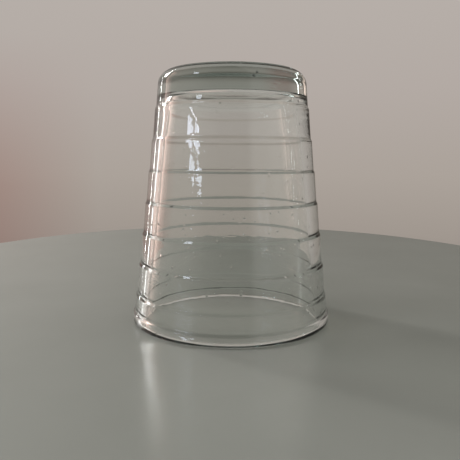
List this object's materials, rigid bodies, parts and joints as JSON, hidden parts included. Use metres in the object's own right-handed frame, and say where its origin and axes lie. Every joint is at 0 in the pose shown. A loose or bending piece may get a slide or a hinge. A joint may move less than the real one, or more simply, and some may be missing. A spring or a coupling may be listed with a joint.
{
  "type": "drinking glass",
  "caption": "Tapered pressed drinking glass with stepped horizontal rings, a thick rounded foot and a rounded rim, standing upside down on its rim.",
  "frame": {"origin": "centre of the circle on which the rim rests, on the axis of the glass", "axes": "+Z along the axis of the glass, from the rim to the foot, so the glass stands upside down as pictured; +X and +Y lie in the rim plane, and the glass is the same all round"},
  "size_m": [0.085, 0.085, 0.1054],
  "materials": {
    "clear_glass": "fire-polished pressed soda-lime glass"
  },
  "bodies": {
    "root": {"tumbler": "clear_glass"}
  },
  "joints": []
}
